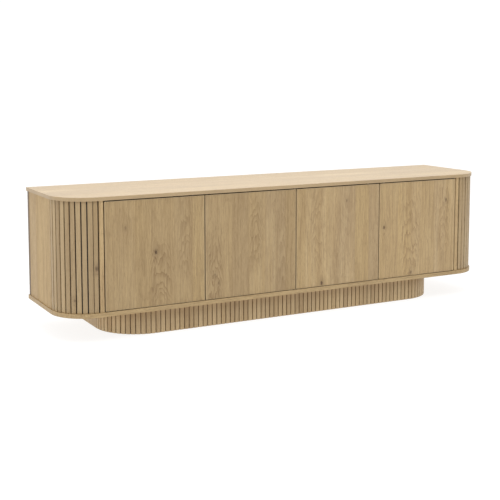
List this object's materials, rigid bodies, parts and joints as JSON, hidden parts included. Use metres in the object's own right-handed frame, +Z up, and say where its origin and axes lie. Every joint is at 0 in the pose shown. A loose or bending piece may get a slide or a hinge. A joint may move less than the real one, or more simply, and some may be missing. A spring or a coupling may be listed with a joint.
{
  "type": "media cabinet",
  "caption": "Low, wide oak-finish media cabinet with push-to-open doors, fluted rounded front corners and a recessed fluted plinth, for storage under a television.",
  "frame": {"origin": "on the floor, in the middle of the cabinet's footprint", "axes": "+X along the length, to the right as seen from the front; +Y to the back, with the doors facing -Y; +Z up"},
  "size_m": [1.8, 0.4, 0.5],
  "materials": {
    "top_oak": "satin oak-grain laminate, grain along the length",
    "base_oak": "satin oak-grain laminate, grain along the length",
    "side_oak": "satin oak-grain laminate, upright grain",
    "fluted_oak": "satin oak-grain laminate with dark cut grooves",
    "door_oak": "satin oak-grain laminate with knots, upright grain",
    "board_oak": "satin oak-grain laminate",
    "plinth_oak": "satin oak-grain laminate, upright grain",
    "chipboard": "raw board",
    "post_oak": "satin oak-grain laminate with a bare brown outer edge",
    "back_board": "thin printed board",
    "dowel_beech": "ribbed beech",
    "dark_plastic": "fine matt texture",
    "plunger_plastic": "smooth grey",
    "glide_plastic": "smooth black",
    "nylon": "brown nylon",
    "steel": "bright steel",
    "hinge_steel": "nickel-plated steel",
    "zinc": "zinc"
  },
  "bodies": {
    "cabinet": {"top_panel": "top_oak", "bottom_panel": "base_oak", "gable_left": "board_oak", "gable_right": "board_oak", "centre_divider": "board_oak", "fluted_corner_left": "fluted_oak", "side_board_left": "side_oak", "corner_formers_left": "chipboard", "back_post_left": "post_oak", "back_panel_left": "back_board", "cable_grommet_left": "dark_plastic", "shelf_left": "board_oak", "plinth_side_rail_left": "plinth_oak", "fluted_corner_right": "fluted_oak", "side_board_right": "side_oak", "corner_formers_right": "chipboard", "back_post_right": "post_oak", "back_panel_right": "back_board", "cable_grommet_right": "dark_plastic", "shelf_right": "board_oak", "plinth_side_rail_right": "plinth_oak", "shelf_pins": "steel", "dowels": "dowel_beech", "cam_bolts": "steel", "cam_locks": "zinc", "hinge_frame_leaves": "hinge_steel", "hinge_pins": "hinge_steel", "hinge_washers": "nylon", "latch_housings": "dark_plastic", "latch_springs": "steel", "plinth_fluted_skin": "plinth_oak", "plinth_rear_rail": "plinth_oak", "plinth_corner_cores": "chipboard", "plinth_front_rail": "chipboard", "plinth_cross_rails": "chipboard", "plinth_blocks": "chipboard", "plinth_screws": "zinc", "glides": "glide_plastic", "back_panel_screws": "zinc"},
    "door_far_left": {"door_far_left": "door_oak", "hinge_leaves_far_left": "hinge_steel", "hinge_screws_far_left": "hinge_steel", "strike_plate_far_left": "zinc"},
    "door_mid_left": {"door_mid_left": "door_oak", "hinge_leaves_mid_left": "hinge_steel", "hinge_screws_mid_left": "hinge_steel", "strike_plate_mid_left": "zinc"},
    "door_mid_right": {"door_mid_right": "door_oak", "hinge_leaves_mid_right": "hinge_steel", "hinge_screws_mid_right": "hinge_steel", "strike_plate_mid_right": "zinc"},
    "door_far_right": {"door_far_right": "door_oak", "hinge_leaves_far_right": "hinge_steel", "hinge_screws_far_right": "hinge_steel", "strike_plate_far_right": "zinc"},
    "latch_far_left": {"latch_plunger_far_left": "plunger_plastic"},
    "latch_mid_left": {"latch_plunger_mid_left": "plunger_plastic"},
    "latch_mid_right": {"latch_plunger_mid_right": "plunger_plastic"},
    "latch_far_right": {"latch_plunger_far_right": "plunger_plastic"}
  },
  "joints": [
    {"name": "door_far_left_hinge", "type": "hinge", "parent": "cabinet", "child": "door_far_left", "pos_m": [-0.743, -0.191, 0.295], "axis": [0, 0, -1], "range_deg": [0, 105]},
    {"name": "door_mid_left_hinge", "type": "hinge", "parent": "cabinet", "child": "door_mid_left", "pos_m": [-0.007, -0.191, 0.295], "axis": [0, 0, 1], "range_deg": [0, 90]},
    {"name": "door_mid_right_hinge", "type": "hinge", "parent": "cabinet", "child": "door_mid_right", "pos_m": [0.007, -0.191, 0.295], "axis": [0, 0, -1], "range_deg": [0, 90]},
    {"name": "door_far_right_hinge", "type": "hinge", "parent": "cabinet", "child": "door_far_right", "pos_m": [0.743, -0.191, 0.295], "axis": [0, 0, 1], "range_deg": [0, 105]},
    {"name": "latch_far_left_push", "type": "slide", "parent": "cabinet", "child": "latch_far_left", "axis": [0, 1, 0], "range_m": [0, 0.003], "stiffness_N_per_m": 400, "springref_m": -0.004},
    {"name": "latch_mid_left_push", "type": "slide", "parent": "cabinet", "child": "latch_mid_left", "axis": [0, 1, 0], "range_m": [0, 0.003], "stiffness_N_per_m": 400, "springref_m": -0.004},
    {"name": "latch_mid_right_push", "type": "slide", "parent": "cabinet", "child": "latch_mid_right", "axis": [0, 1, 0], "range_m": [0, 0.003], "stiffness_N_per_m": 400, "springref_m": -0.004},
    {"name": "latch_far_right_push", "type": "slide", "parent": "cabinet", "child": "latch_far_right", "axis": [0, 1, 0], "range_m": [0, 0.003], "stiffness_N_per_m": 400, "springref_m": -0.004}
  ]
}
